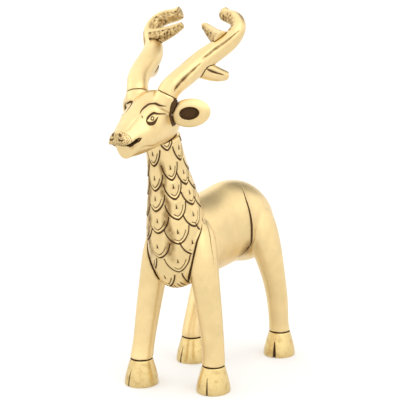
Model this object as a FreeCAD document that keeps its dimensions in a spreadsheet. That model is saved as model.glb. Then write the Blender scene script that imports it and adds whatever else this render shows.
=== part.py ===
import FreeCAD, Part
import math
import os

# A standing deer stag figure in cast brass, about 240 mm tall, put together from
# castings that meet on flat brazed faces.
# Frame: +Z up, the nose towards -Y, the deer's left side towards +X, and the origin
# on the floor under the middle of the figure. All lengths are in millimetres.

Vector = FreeCAD.Vector
X_AXIS, Y_AXIS, Z_AXIS = Vector(1, 0, 0), Vector(0, 1, 0), Vector(0, 0, 1)

# Single driving dimensions.
SIZES = {
    "wall": 4.0,                # thickness of the hollow castings
    "figure_height": 248.0,     # taller than everything, used by the cutting blocks
    "crease_along": -4.0,       # plane where the forequarters meet the barrel
    "haunch_along": 36.0,       # plane where the barrel meets the hindquarters
    "hoof_top": 17.0,           # plane where the legs stand on the hooves
    "hoof_pin_radius": 2.0,
    "hoof_pin_reach": 7.0,      # length of a hoof pin each side of its joint
    "ear_pin_radius": 1.2,
    "ear_pin_reach": 5.0,
    "ear_length": 24.0,
    "ear_width": 17.0,
    "ear_thickness": 7.0,
    "ear_dish_length": 12.4,
    "ear_dish_width": 7.8,
    "ear_dish_depth": 6.0,
    "peg_radius": 2.5,
    "peg_play": 0.05,           # radial play of a peg in its socket
    "peg_reach": 12.0,          # how far a peg goes down into the head
    "peg_grip": 7.0,            # how far a peg goes up into its antler
    "socket_floor_gap": 1.0,    # free space under a peg
    "antler_gap": 0.15,         # hairline between an antler and its seat
    "seat_radius": 7.2,         # raised round seat under an antler
    "seat_drop": 9.0,           # how far the seat goes down into the skull
    "facing_radius": 8.0,       # the skull is faced flat this far round a seat
    "mouth_gap": 2.2,
    "mouth_length": 14.0,
    "mouth_span": 30.0,
    "jaw_length": 6.8,          # lower lip, from the corner of the mouth to the front of the chin
    "chin_height": 14.0,        # height of the cut that sets the chin back
}

# Stations of each cast form: centre x, y, z, then the long and short half-axes.
# Trunk: upright cross-sections from the breast to the rump.
TRUNK = [
    (0, -27, 95, 12, 9), (0, -20, 96, 21, 17), (0, -6, 95.8, 25, 19.5), (0, 12, 95.6, 27, 18),
    (0, 30, 97.4, 28.2, 17.8), (0, 44, 97.2, 27.9, 19.5), (0, 58, 94.3, 27, 20), (0, 69, 93.5, 20, 17),
    (0, 76, 93, 9, 9),
]
# Neck and breast: sections square to the leaning neck, long axis fore and aft.
NECK = [
    (0, -18, 68.6, 8, 7), (0, -18.5, 75.2, 14.5, 13.8), (0, -20.3, 89, 19, 17.2), (0, -23.3, 104, 20.1, 17.6),
    (0, -25.9, 119, 18.6, 15.8), (0, -30.4, 138, 14.8, 12.4), (0, -35.5, 157.3, 11.9, 10.7),
    (0, -37.1, 163.3, 11.9, 10.7),
]
# Head: upright cross-sections from the back of the skull to the nose.
HEAD = [
    (0, -28, 176, 7, 6), (0, -33, 175.5, 14, 11), (0, -42, 175, 17, 13.5), (0, -52, 174, 16.8, 14.2),
    (0, -60, 171, 15.0, 13.4), (0, -67, 168, 12.8, 11.2), (0, -74, 165.4, 10.2, 9.0),
    (0, -80, 165.3, 8.0, 7.6), (0, -82, 166, 5.2, 5.0),
]
# Legs: level sections from inside the trunk down to the hoof joint.
FORE_LEG = [
    (9, -16, 112, 5, 4), (12.4, -16.5, 105, 10, 7.3), (15.4, -18, 93, 11.2, 9.2), (18, -18.5, 78, 10, 9),
    (20.3, -17.6, 60, 8.6, 8.3), (22.2, -16.6, 42, 7.7, 7.6), (23.2, -15.6, 26, 7.2, 7.1),
    (23.2, -15.5, 17, 7.6, 7.5),
]
FORE_STRIDE = [0, 0, -0.5, -2, -5, -8, -11.5, -14]
HIND_LEG = [
    (8, 52, 111, 6, 4), (13, 54, 103, 12, 7.5), (16, 56, 88, 13.5, 9.6), (19, 59, 72, 11.0, 9.2),
    (21, 63, 56, 8.6, 7.9), (21.7, 67, 40, 7.6, 7.2), (21.8, 69, 26, 7.0, 6.8),
    (21.8, 70.6, 17, 7.5, 7.4),
]
HIND_STRIDE = [0, -1, -5, -11, -22, -33, -41, -44]
# Antler beam: centre line and half-thickness, from its seat to the forward hook.
ANTLER = [
    (11, -46.7, 190, 7.0, 6.4), (13, -44, 195, 6.7, 6.2), (16, -37.5, 200, 6.8, 6.3),
    (18, -28.5, 205.3, 7.0, 6.4), (20.5, -19, 210.8, 6.9, 6.2), (25, -11.5, 216, 6.3, 5.8),
    (30, -6.5, 221.5, 5.7, 5.2), (31.5, -2, 227.5, 5.1, 4.6), (28, 2, 232, 4.9, 4.4),
    (22, 4.5, 234, 4.6, 4.2), (16, 6, 236.3, 4.2, 3.9),
]
PEG_AXIS = (0.30, 0.35, 0.887)
INNER_TINE = [(27, -11.5, 220.5, 6.4, 5.8), (20.5, -8.5, 222.5, 5.2, 4.6), (14, -5.5, 225.5, 3.8, 3.4),
              (8, -3.5, 229, 2.2, 2.0)]
OUTER_TINE = [(18.5, -25, 205, 6.4, 6.0), (22, -19, 202.2, 5.6, 5.2), (25.5, -13.5, 200.2, 4.4, 4.1),
              (28.3, -8.8, 199.4, 2.8, 2.6)]
TAIL = [(0, 67, 107, 5.2, 4.6), (0, 73, 105, 5.0, 4.4), (0, 77, 99, 4.3, 3.6), (0, 78, 91, 2.6, 2.0)]
HOOF_RISE = [(0, 11.4, 10.8), (3, 11.2, 10.6), (10, 9.6, 9.1), (17, 7.4, 7.3)]
EAR_ROOT = (13.5, -44.5, 178.3)
EAR_AXIS = (0.83, 0.55, 0.10)
EAR_DISH_LIFT = 2.6
MOUTH_REAR = (0, -70.5, 165.2)
MOUTH_SLOPE = 13.0

doc = FreeCAD.newDocument("deer_stag")
sheet = doc.addObject("Spreadsheet::Sheet", "sizes")
row_count = 0


def put_cell(alias, value):
    """Store one number in the sheet under a name."""
    global row_count
    row_count += 1
    cell = "A%d" % row_count
    sheet.set(cell, str(value))
    sheet.setAlias(cell, alias)


def put_stations(name, rows):
    for number, row in enumerate(rows, 1):
        for field, value in zip(("x", "y", "z", "long", "short"), row):
            put_cell("%s_%d_%s" % (name, number, field), value)


def bind(thing, **formulas):
    """Tie properties to the sheet; a double underscore stands for a dot."""
    for prop, formula in formulas.items():
        thing.setExpression(prop.replace("__", "."), formula)
    return thing


def turned(x_direction, normal):
    """Rotation that puts local X along x_direction and local Z along normal."""
    x_direction = Vector(x_direction).normalize()
    normal = Vector(normal).normalize()
    return FreeCAD.Rotation(x_direction, normal.cross(x_direction), normal, "ZXY")


def ellipse(name, source, number, long_direction, normal, shrink="", side=1, along="y"):
    """One elliptical section, placed and sized by its row of the sheet."""
    cell = "sizes.%s_%d_" % (source, number)
    section = doc.addObject("Part::Ellipse", name)
    section.Placement = FreeCAD.Placement(Vector(), turned(long_direction, normal))
    x_sign = "" if side > 0 else "-"
    bind(section, MajorRadius=cell + "long" + shrink, MinorRadius=cell + "short" + shrink,
         Placement__Base__x=x_sign + cell + "x", Placement__Base__y=cell + along,
         Placement__Base__z=cell + "z")
    return section


def loft(name, sections):
    skin = doc.addObject("Part::Loft", name)
    skin.Sections = sections
    skin.Solid = True
    skin.Ruled = False
    return skin


def form(name, source, rows, long_direction, normal, shrink="", side=1, span=None, along="y"):
    """A cast form: parallel elliptical sections joined by one smooth skin."""
    first, last = span or (1, len(rows))
    sections = [ellipse("%s_section_%d" % (name, n), source, n, long_direction, normal, shrink, side, along)
                for n in range(first, last + 1)]
    return loft(name, sections)


def bent_form(name, source, rows, side=1, first_normal=None):
    """A cast form whose sections stay square to its bending centre line."""
    points = [Vector(side * row[0], row[1], row[2]) for row in rows]
    long_direction = Vector(Y_AXIS)
    sections = []
    for index in range(len(points)):
        before, after = points[max(index - 1, 0)], points[min(index + 1, len(points) - 1)]
        tangent = (after - before).normalize()
        if index == 0 and first_normal:
            tangent = Vector(side * first_normal[0], first_normal[1], first_normal[2]).normalize()
        long_direction = (long_direction - tangent * long_direction.dot(tangent)).normalize()
        sections.append(ellipse("%s_section_%d" % (name, index + 1), source, index + 1,
                                long_direction, tangent, side=side))
    return loft(name, sections)


def cut(name, base, tool):
    result = doc.addObject("Part::Cut", name)
    result.Base = base
    result.Tool = tool
    return result


def common(name, base, tool):
    result = doc.addObject("Part::Common", name)
    result.Base = base
    result.Tool = tool
    return result


def fuse(name, *shapes):
    result = doc.addObject("Part::MultiFuse", name)
    result.Shapes = list(shapes)
    return result


def block(name, x_from, x_to, y_from, y_to, z_from, z_to):
    """A cutting block between six planes, each a formula on the sheet."""
    box = doc.addObject("Part::Box", name)
    return bind(box, Length="(%s) - (%s)" % (x_to, x_from), Width="(%s) - (%s)" % (y_to, y_from),
                Height="(%s) - (%s)" % (z_to, z_from), Placement__Base__x=x_from,
                Placement__Base__y=y_from, Placement__Base__z=z_from)


def rod(name, centre, axis, radius, below, above):
    """A round bar along an axis, reaching below and above its centre."""
    bar = doc.addObject("Part::Cylinder", name)
    axis = Vector(axis).normalize()
    sideways = X_AXIS.cross(axis).normalize()
    bar.Placement = FreeCAD.Placement(Vector(), turned(sideways, axis))
    bind(bar, Radius=radius, Height="(%s) + (%s)" % (below, above))
    for prop, place, part in zip(("x", "y", "z"), centre, axis):
        bar.setExpression("Placement.Base." + prop, "(%s) - (%.9f) * (%s)" % (place, part, below))
    return bar


def mirrored_point(point, side):
    return (side * point[0], point[1], point[2])


for alias, number in SIZES.items():
    put_cell(alias, number)
STATIONS = {"trunk": TRUNK, "neck": NECK, "head": HEAD, "fore": FORE_LEG, "hind": HIND_LEG,
            "beam": ANTLER, "inner": INNER_TINE, "outer": OUTER_TINE, "tail": TAIL}
for group, table in STATIONS.items():
    put_stations(group, table)
for group, table, stride in (("fore", FORE_LEG, FORE_STRIDE), ("hind", HIND_LEG, HIND_STRIDE)):
    for number, (row, step) in enumerate(zip(table, stride), 1):
        put_cell("%s_%d_forward" % (group, number), row[1] + step)
for number, (rise, long_half, short_half) in enumerate(HOOF_RISE, 1):
    put_cell("hoof_%d_z" % number, rise)
    put_cell("hoof_%d_long" % number, long_half)
    put_cell("hoof_%d_short" % number, short_half)
doc.recompute()

parts = {}


def keep(node, shape_object):
    """Name a finished piece; its label is also its file's name."""
    shape_object.Label = node
    parts[node] = shape_object
    return shape_object


# Neck and breast, hollow and open below; its axis leans forward as it rises.
neck_lean = math.radians(16)
neck_normal = Vector(0, -math.sin(neck_lean), math.cos(neck_lean))
neck_along = Vector(0, math.cos(neck_lean), math.sin(neck_lean))
neck_skin = form("neck_skin", "neck", NECK, neck_along, neck_normal)
neck_core = form("neck_core", "neck", NECK, neck_along, neck_normal, " - sizes.wall", span=(2, 7))
keep("neck_casting", cut("neck_hollow", neck_skin, neck_core))

# Trunk skin and the hollow inside it.
trunk_skin = form("trunk_skin", "trunk", TRUNK, Z_AXIS, Y_AXIS)
trunk_core = form("trunk_core", "trunk", TRUNK, Z_AXIS, Y_AXIS, " - sizes.wall", span=(2, 8))
HALF = "60"
TOP = "sizes.figure_height"
barrel_block = block("barrel_block", "-" + HALF, HALF, "sizes.crease_along", "sizes.haunch_along", "0", TOP)
barrel_wall = cut("barrel_wall", trunk_skin, trunk_core)
keep("barrel_casting", common("barrel_ring", barrel_wall, barrel_block))

hoof_pins = []
for side, side_name in ((1, "left"), (-1, "right")):
    x_range = ("0", HALF) if side > 0 else ("-" + HALF, "0")
    for end, rows, y_range in (("fore", FORE_LEG, ("-" + HALF, "sizes.crease_along")),
                               ("hind", HIND_LEG, ("sizes.haunch_along", "2 * " + HALF))):
        tag = "%s_%s" % (side_name, end)
        # The left legs trail and the right legs step forward.
        along = "y" if side > 0 else "forward"
        leg = form(tag + "_leg", end, rows, Y_AXIS, Z_AXIS, side=side, along=along)
        quarter_block = block(tag + "_block", *x_range, *y_range, "sizes.hoof_top", TOP)
        trunk_quarter = common(tag + "_trunk", trunk_skin, quarter_block)
        solid_quarter = fuse(tag + "_solid", trunk_quarter, leg)
        hollow = cut(tag + "_hollow", solid_quarter, trunk_core)
        if end == "fore":
            hollow = cut(tag + "_behind_neck", hollow, neck_skin)
        # The hoof: a blunt cone standing on the floor under the leg.
        last = "sizes.%s_%d_" % (end, len(rows))
        x_place = ("" if side > 0 else "-") + last + "x"
        y_place = last + along
        rings = []
        for number in range(1, len(HOOF_RISE) + 1):
            ring = doc.addObject("Part::Ellipse", "%s_hoof_ring_%d" % (tag, number))
            ring.Placement = FreeCAD.Placement(Vector(), turned(Y_AXIS, Z_AXIS))
            cell = "sizes.hoof_%d_" % number
            bind(ring, MajorRadius=cell + "long", MinorRadius=cell + "short", Placement__Base__x=x_place,
                 Placement__Base__y=y_place, Placement__Base__z=cell + "z")
            rings.append(ring)
        hoof = loft(tag + "_hoof_form", rings)
        pin = rod(tag + "_hoof_pin", (x_place, y_place, "sizes.hoof_top"), Z_AXIS, "sizes.hoof_pin_radius",
                  "sizes.hoof_pin_reach", "sizes.hoof_pin_reach")
        hoof_pins.append(pin)
        keep(tag + "_hoof", cut(tag + "_hoof_bored", hoof, pin))
        quarter = cut(tag + "_bored", hollow, pin)
        keep("%s_%squarter" % (side_name, end), quarter)
keep("hoof_pins", doc.addObject("Part::Compound", "hoof_pin_set")).Links = hoof_pins

# Head: skull and muzzle with a seat for each antler, cut flat where it meets the neck.
head_form = form("head_form", "head", HEAD, Z_AXIS, Y_AXIS)
seats, sockets, ear_pins, ear_skins = [], [], [], []
antler_foot = ("sizes.beam_1_x", "sizes.beam_1_y", "sizes.beam_1_z")
for side, side_name in ((1, "left"), (-1, "right")):
    foot = antler_foot if side > 0 else ("-" + antler_foot[0],) + antler_foot[1:]
    axis = mirrored_point(PEG_AXIS, side)
    seats.append(rod(side_name + "_seat", foot, axis, "sizes.seat_radius", "sizes.seat_drop",
                     "-sizes.antler_gap"))
    sockets.append(rod(side_name + "_facing", foot, axis, "sizes.facing_radius", "sizes.antler_gap",
                       "sizes.facing_radius"))
    sockets.append(rod(side_name + "_socket", foot, axis, "sizes.peg_radius + sizes.peg_play",
                       "sizes.peg_reach + sizes.socket_floor_gap", "1"))
    peg = keep(side_name + "_antler_peg", rod(side_name + "_peg", foot, axis, "sizes.peg_radius",
                                              "sizes.peg_reach", "sizes.peg_grip"))
    beam = bent_form(side_name + "_beam", "beam", ANTLER, side, PEG_AXIS)
    inner = bent_form(side_name + "_inner_form", "inner", INNER_TINE, side)
    outer = bent_form(side_name + "_outer_form", "outer", OUTER_TINE, side)
    keep(side_name + "_antler", cut(side_name + "_beam_bored", beam, peg))
    keep(side_name + "_inner_tine", cut(side_name + "_inner_cut", inner, beam))
    keep(side_name + "_outer_tine", cut(side_name + "_outer_cut", outer, beam))

neck_top = "sizes.neck_%d_" % len(NECK)
neck_block = doc.addObject("Part::Box", "under_head")
neck_block.Placement = FreeCAD.Placement(Vector(), turned(neck_along, neck_normal))
REACH = 80
bind(neck_block, Length=str(REACH), Width=str(REACH), Height=str(REACH))
across = neck_normal.cross(neck_along)
for axis_name, part_along, part_across, part_up in zip("xyz", neck_along, across, neck_normal):
    shift = -0.5 * REACH * (part_along + part_across) - REACH * part_up
    neck_block.setExpression("Placement.Base." + axis_name, "%s%s + (%.9f)" % (neck_top, axis_name, shift))

mouth = doc.addObject("Part::Box", "mouth_slot")
mouth_tilt = math.radians(MOUTH_SLOPE)
mouth_forward = Vector(0, -math.cos(mouth_tilt), -math.sin(mouth_tilt))
mouth_up = Vector(0, -math.sin(mouth_tilt), math.cos(mouth_tilt))
mouth.Placement = FreeCAD.Placement(Vector(), turned(mouth_forward, mouth_up))
bind(mouth, Length="sizes.mouth_length + 5", Width="sizes.mouth_span", Height="sizes.mouth_gap",
     Placement__Base__x="-sizes.mouth_span / 2", Placement__Base__y=str(MOUTH_REAR[1]),
     Placement__Base__z=str(MOUTH_REAR[2]))
chin = doc.addObject("Part::Box", "chin_cut")
chin.Placement = FreeCAD.Placement(Vector(), turned(mouth_forward, mouth_up))
bind(chin, Length="sizes.mouth_length", Width="sizes.mouth_span", Height="sizes.chin_height",
     Placement__Base__x="-sizes.mouth_span / 2",
     Placement__Base__y="%s + (%.9f) * sizes.jaw_length - (%.9f) * sizes.chin_height"
                        % (MOUTH_REAR[1], mouth_forward.y, mouth_up.y),
     Placement__Base__z="%s + (%.9f) * sizes.jaw_length - (%.9f) * sizes.chin_height"
                        % (MOUTH_REAR[2], mouth_forward.z, mouth_up.z))

ears = []
for side, side_name in ((1, "left"), (-1, "right")):
    root = Vector(*mirrored_point(EAR_ROOT, side))
    ear_axis = Vector(*mirrored_point(EAR_AXIS, side)).normalize()
    ear_front = Vector(side * EAR_AXIS[1], -EAR_AXIS[0], 0).normalize()
    ear_rotation = turned(ear_front, ear_axis)
    paddle = doc.addObject("Part::Ellipsoid", side_name + "_ear_form")
    dish = doc.addObject("Part::Ellipsoid", side_name + "_ear_dish")
    ear_shapes = ((paddle, "ear_length", "ear_width", "ear_thickness", 0),
                  (dish, "ear_dish_length", "ear_dish_width", "ear_dish_depth", EAR_DISH_LIFT))
    for thing, length, width, depth, lift in ear_shapes:
        thing.Placement = FreeCAD.Placement(Vector(), ear_rotation)
        bind(thing, Radius1="sizes.%s / 2" % length, Radius2="sizes.%s / 2" % depth,
             Radius3="sizes.%s / 2" % width)
        for axis_name, start, part_out, part_front in zip("xyz", root, ear_axis, ear_front):
            thing.setExpression("Placement.Base." + axis_name,
                                "%.9f + (%.9f) * sizes.ear_length * 0.42 + (%.9f)"
                                % (start, part_out, lift * part_front))
    pin = rod(side_name + "_ear_pin", ["%.9f" % value for value in root], ear_axis, "sizes.ear_pin_radius",
              "sizes.ear_pin_reach", "sizes.ear_pin_reach")
    ear_pins.append(pin)
    dished = cut(side_name + "_ear_dished", paddle, dish)
    ears.append((side_name, dished, pin))

skull = fuse("skull", head_form, *seats)
skull_flat = cut("skull_flat", skull, neck_block)
openings = fuse("head_openings", mouth, chin, *sockets, *ear_pins)
head = keep("head_casting", cut("head_open", skull_flat, openings))
for side_name, dished, pin in ears:
    trimmed = cut(side_name + "_ear_trimmed", dished, skull)
    keep(side_name + "_ear", cut(side_name + "_ear_bored", trimmed, pin))
keep("ear_pins", doc.addObject("Part::Compound", "ear_pin_set")).Links = ear_pins

tail_form = bent_form("tail_form", "tail", TAIL)
keep("tail", cut("tail_behind_rump", tail_form, trunk_skin))

doc.recompute()
for thing in doc.Objects:
    if {"Invalid", "Error"} & set(thing.State):
        raise RuntimeError("%s failed: %s" % (thing.Name, thing.State))
for node, thing in parts.items():
    shape = thing.Shape
    if shape.isNull() or not shape.isValid() or not shape.Solids:
        raise RuntimeError("%s has no valid solid" % node)

os.makedirs("parts", exist_ok=True)
for node, thing in parts.items():
    shape = thing.Shape
    shape.exportStep("parts/%s.step" % node)
    print("%-20s %d solids, %9.1f mm3" % (node, len(shape.Solids), shape.Volume))
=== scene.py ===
import math

import bmesh
import bpy
import numpy as np
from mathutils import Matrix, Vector, noise
from mathutils.bvhtree import BVHTree


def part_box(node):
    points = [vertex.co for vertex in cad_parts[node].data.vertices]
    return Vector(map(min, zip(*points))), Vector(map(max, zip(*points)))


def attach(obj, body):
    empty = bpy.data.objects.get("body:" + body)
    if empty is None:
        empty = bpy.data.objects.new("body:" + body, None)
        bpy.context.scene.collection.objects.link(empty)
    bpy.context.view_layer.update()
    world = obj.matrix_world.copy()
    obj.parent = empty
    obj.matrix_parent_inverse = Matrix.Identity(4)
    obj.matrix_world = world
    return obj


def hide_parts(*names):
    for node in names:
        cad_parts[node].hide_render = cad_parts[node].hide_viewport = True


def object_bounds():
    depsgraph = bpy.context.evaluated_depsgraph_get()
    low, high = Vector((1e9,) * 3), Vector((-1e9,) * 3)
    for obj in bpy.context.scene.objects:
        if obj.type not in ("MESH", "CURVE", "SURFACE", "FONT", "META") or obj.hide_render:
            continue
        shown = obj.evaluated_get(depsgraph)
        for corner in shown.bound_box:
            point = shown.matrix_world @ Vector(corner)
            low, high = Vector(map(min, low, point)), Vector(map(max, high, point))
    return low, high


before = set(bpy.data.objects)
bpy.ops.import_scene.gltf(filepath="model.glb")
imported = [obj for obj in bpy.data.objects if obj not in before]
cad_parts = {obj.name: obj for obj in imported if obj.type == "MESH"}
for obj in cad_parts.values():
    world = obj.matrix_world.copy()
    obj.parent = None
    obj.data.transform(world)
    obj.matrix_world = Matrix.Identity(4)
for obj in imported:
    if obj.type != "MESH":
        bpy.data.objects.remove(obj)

# A brass deer stag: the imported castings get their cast, filed and chased surfaces here.
# Metres, +Z up, the nose towards -Y, the deer's left side towards +X.

MM = 0.001
CAD_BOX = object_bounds()
LEFT, RIGHT = 1, -1
SIDES = ((LEFT, "left"), (RIGHT, "right"))

# Working sizes of the surfaces.
BODY_GRAIN = 0.70 * MM          # voxel of the trunk and leg skin
HEAD_GRAIN = 0.68 * MM
ANTLER_GRAIN = 0.50 * MM
EAR_GRAIN = 0.40 * MM
HOOF_GRAIN = 0.55 * MM


def mm(*values):
    """A point given in millimetres."""
    return Vector(values) * MM


# ---------------------------------------------------------------- mesh tools

def new_object(name, mesh):
    thing = bpy.data.objects.new(name, mesh)
    bpy.context.scene.collection.objects.link(thing)
    return thing


def discard(thing):
    mesh = thing.data
    bpy.data.objects.remove(thing)
    bpy.data.meshes.remove(mesh)


def settle(thing):
    """Turn the modified shape into a plain mesh and drop the modifiers."""
    bpy.context.view_layer.update()
    graph = bpy.context.evaluated_depsgraph_get()
    mesh = bpy.data.meshes.new_from_object(thing.evaluated_get(graph))
    old = thing.data
    thing.modifiers.clear()
    thing.data = mesh
    if not old.users:
        bpy.data.meshes.remove(old)
    return thing


def casting_copy(node, name=None):
    """A welded copy of a CAD node's mesh."""
    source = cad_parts[node].data
    work = bmesh.new()
    work.from_mesh(source)
    bmesh.ops.remove_doubles(work, verts=work.verts, dist=0.002 * MM)
    mesh = bpy.data.meshes.new(name or node)
    work.to_mesh(mesh)
    work.free()
    for layer in [a.name for a in mesh.attributes if not a.is_internal and not a.is_required]:
        mesh.attributes.remove(mesh.attributes[layer])
    mesh.materials.clear()
    return new_object(name or node, mesh)


def combine(thing, other, operation="UNION", keep_other=False):
    step = thing.modifiers.new("combine", "BOOLEAN")
    step.operation = operation
    step.object = other
    step.solver = "MANIFOLD"
    settle(thing)
    if not keep_other:
        discard(other)
    return thing


def outer_shell(thing):
    """Drop the hollows inside a casting: only the largest connected shell stays."""
    work = bmesh.new()
    work.from_mesh(thing.data)
    work.verts.ensure_lookup_table()
    unseen, shells = set(work.verts), []
    while unseen:
        start = unseen.pop()
        shell, front = [start], [start]
        while front:
            vert = front.pop()
            for edge in vert.link_edges:
                other = edge.other_vert(vert)
                if other in unseen:
                    unseen.remove(other)
                    shell.append(other)
                    front.append(other)
        shells.append(shell)

    def spread(shell):
        return max(v.co.z for v in shell) - min(v.co.z for v in shell)

    shells.sort(key=spread)
    for shell in shells[:-1]:
        bmesh.ops.delete(work, geom=shell, context="VERTS")
    work.to_mesh(thing.data)
    work.free()
    return thing


def recast(thing, grain, passes=10, finer=0):
    """An even skin over the shape, smoothed as a caster's file leaves it."""
    skin = thing.modifiers.new("skin", "REMESH")
    skin.mode = "VOXEL"
    skin.voxel_size = grain
    skin.use_smooth_shade = True
    if passes:
        soft = thing.modifiers.new("soft", "SMOOTH")
        soft.factor = 0.5
        soft.iterations = passes
    if finer:
        fine = thing.modifiers.new("fine", "SUBSURF")
        fine.levels = finer
        fine.render_levels = finer
    return settle(thing)


def points_of(thing):
    mesh = thing.data
    co = np.empty(len(mesh.vertices) * 3)
    mesh.vertices.foreach_get("co", co)
    return co.reshape(-1, 3)


def normals_of(thing):
    mesh = thing.data
    no = np.empty(len(mesh.vertices) * 3)
    mesh.vertices.foreach_get("normal", no)
    return no.reshape(-1, 3)


def set_points(thing, co):
    thing.data.vertices.foreach_set("co", np.ascontiguousarray(co, dtype=np.float32).ravel())
    thing.data.update()


def get_mark(thing, name):
    """A per-point number stored on a mesh, zero where there is none."""
    layer = thing.data.attributes.get(name)
    values = np.zeros(len(thing.data.vertices), np.float32)
    if layer:
        layer.data.foreach_get("value", values)
    return values


def set_mark(thing, name, values):
    layer = thing.data.attributes.get(name) or thing.data.attributes.new(name, "FLOAT", "POINT")
    layer.data.foreach_set("value", np.asarray(values, np.float32))


def smoothstep(low, high, value):
    share = np.clip((value - low) / (high - low), 0.0, 1.0)
    return share * share * (3 - 2 * share)


def block(name, low, high):
    """A closed box between two corners, used as a saw."""
    work = bmesh.new()
    bmesh.ops.create_cube(work, size=1.0)
    for vert in work.verts:
        for axis in range(3):
            vert.co[axis] = (low, high)[vert.co[axis] > 0][axis]
    mesh = bpy.data.meshes.new(name)
    work.to_mesh(mesh)
    work.free()
    return new_object(name, mesh)


def spline(points, count):
    """Points along a smooth curve through a few given ones."""
    pts = np.array(points, float)
    ends = np.vstack([2 * pts[0] - pts[1], pts, 2 * pts[-1] - pts[-2]])
    out = []
    spans = len(pts) - 1
    for step in np.linspace(0, spans, count):
        i = min(int(step), spans - 1)
        t = step - i
        a, b, c, d = ends[i:i + 4]
        out.append(0.5 * (2 * b + (c - a) * t + (2 * a - 5 * b + 4 * c - d) * t * t
                          + (3 * b - a - 3 * c + d) * t ** 3))
    return np.array(out)


# ---------------------------------------------------------------- chased lines

class Lines:
    """Chased lines on a casting: strokes through points laid on its skin."""

    def __init__(self, skin):
        mesh = skin.data
        mesh.calc_loop_triangles()
        self.tree = BVHTree.FromPolygons([v.co for v in mesh.vertices],
                                         [t.vertices for t in mesh.loop_triangles])
        self.verts, self.edges, self.widths = [], [], []

    def stroke(self, points, width, taper=(0.3, 0.3), count=40, closed=False):
        """One chisel line through points in millimetres; width is its half-width at full depth."""
        path = spline(list(points) + ([points[0]] if closed else []), count)
        start = len(self.verts)
        for number, point in enumerate(path):
            share = number / (count - 1)
            thin = 1.0
            if not closed:
                if taper[0]:
                    thin = min(thin, 0.25 + 0.75 * min(1.0, share / taper[0]))
                if taper[1]:
                    thin = min(thin, 0.25 + 0.75 * min(1.0, (1 - share) / taper[1]))
            place = self.tree.find_nearest(Vector(point) * MM)[0]
            self.verts.append(place)
            self.widths.append(width * thin * MM)
            if number:
                self.edges.append((start + number - 1, start + number))

    def as_object(self, name):
        mesh = bpy.data.meshes.new(name)
        mesh.from_pydata(self.verts, self.edges, [])
        thing = new_object(name, mesh)
        set_mark(thing, "half_width", self.widths)
        return thing


# ---------------------------------------------------------------- node tools

def add_node(tree, kind, settings=None, **inputs):
    """One node with its settings and inputs; an input is a value or another node's socket."""
    node = tree.nodes.new(kind)
    for key, value in (settings or {}).items():
        setattr(node, key, value)
    for key, value in inputs.items():
        socket = node.inputs[int(key[1:])] if key[0] == "_" and key[1:].isdigit() else node.inputs[key]
        if isinstance(value, bpy.types.NodeSocket):
            tree.links.new(value, socket)
        else:
            socket.default_value = value
    return node


def calc(tree, operation, *values):
    kwargs = {"_%d" % i: v for i, v in enumerate(values)}
    return add_node(tree, "ShaderNodeMath", {"operation": operation}, **kwargs).outputs[0]


def vec(tree, operation, *values):
    node = tree.nodes.new("ShaderNodeVectorMath")
    node.operation = operation
    for socket, value in zip(node.inputs, values):
        if isinstance(value, bpy.types.NodeSocket):
            tree.links.new(value, socket)
        else:
            socket.default_value = value
    return node.outputs["Value"] if operation in ("DOT_PRODUCT", "LENGTH") else node.outputs[0]


def scaled(tree, vector, factor):
    node = tree.nodes.new("ShaderNodeVectorMath")
    node.operation = "SCALE"
    tree.links.new(vector, node.inputs[0])
    if isinstance(factor, bpy.types.NodeSocket):
        tree.links.new(factor, node.inputs["Scale"])
    else:
        node.inputs["Scale"].default_value = factor
    return node.outputs[0]


def ramp(tree, value, low, high, start, end):
    """Smooth step from start to end as value goes from low to high."""
    node = tree.nodes.new("ShaderNodeMapRange")
    node.interpolation_type = "SMOOTHSTEP"
    for key, item in (("Value", value), ("From Min", low), ("From Max", high), ("To Min", start), ("To Max", end)):
        if isinstance(item, bpy.types.NodeSocket):
            tree.links.new(item, node.inputs[key])
        else:
            node.inputs[key].default_value = item
    return node.outputs[0]


def geometry_tree(name, inputs):
    """An empty geometry tree with named inputs: (name, socket type, default)."""
    tree = bpy.data.node_groups.new(name, "GeometryNodeTree")
    for label, kind, default in inputs:
        socket = tree.interface.new_socket(label, in_out="INPUT", socket_type=kind)
        if default is not None:
            socket.default_value = default
    tree.interface.new_socket("Geometry", in_out="OUTPUT", socket_type="NodeSocketGeometry")
    return tree, tree.nodes.new("NodeGroupInput"), tree.nodes.new("NodeGroupOutput")


def run_tree(thing, tree, values):
    """Put a geometry tree on an object with its input values, and settle the result."""
    step = thing.modifiers.new(tree.name, "NODES")
    step.node_group = tree
    for socket in tree.interface.items_tree:
        if socket.item_type == "SOCKET" and socket.in_out == "INPUT" and socket.name in values:
            step[socket.identifier] = values[socket.name]
    return settle(thing)


def named(tree, name):
    return add_node(tree, "GeometryNodeInputNamedAttribute", {"data_type": "FLOAT"}, Name=name).outputs["Attribute"]


def store(tree, geometry, name, value):
    return add_node(tree, "GeometryNodeStoreNamedAttribute", {"data_type": "FLOAT", "domain": "POINT"},
                    Geometry=geometry, Name=name, Value=value).outputs[0]


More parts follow.
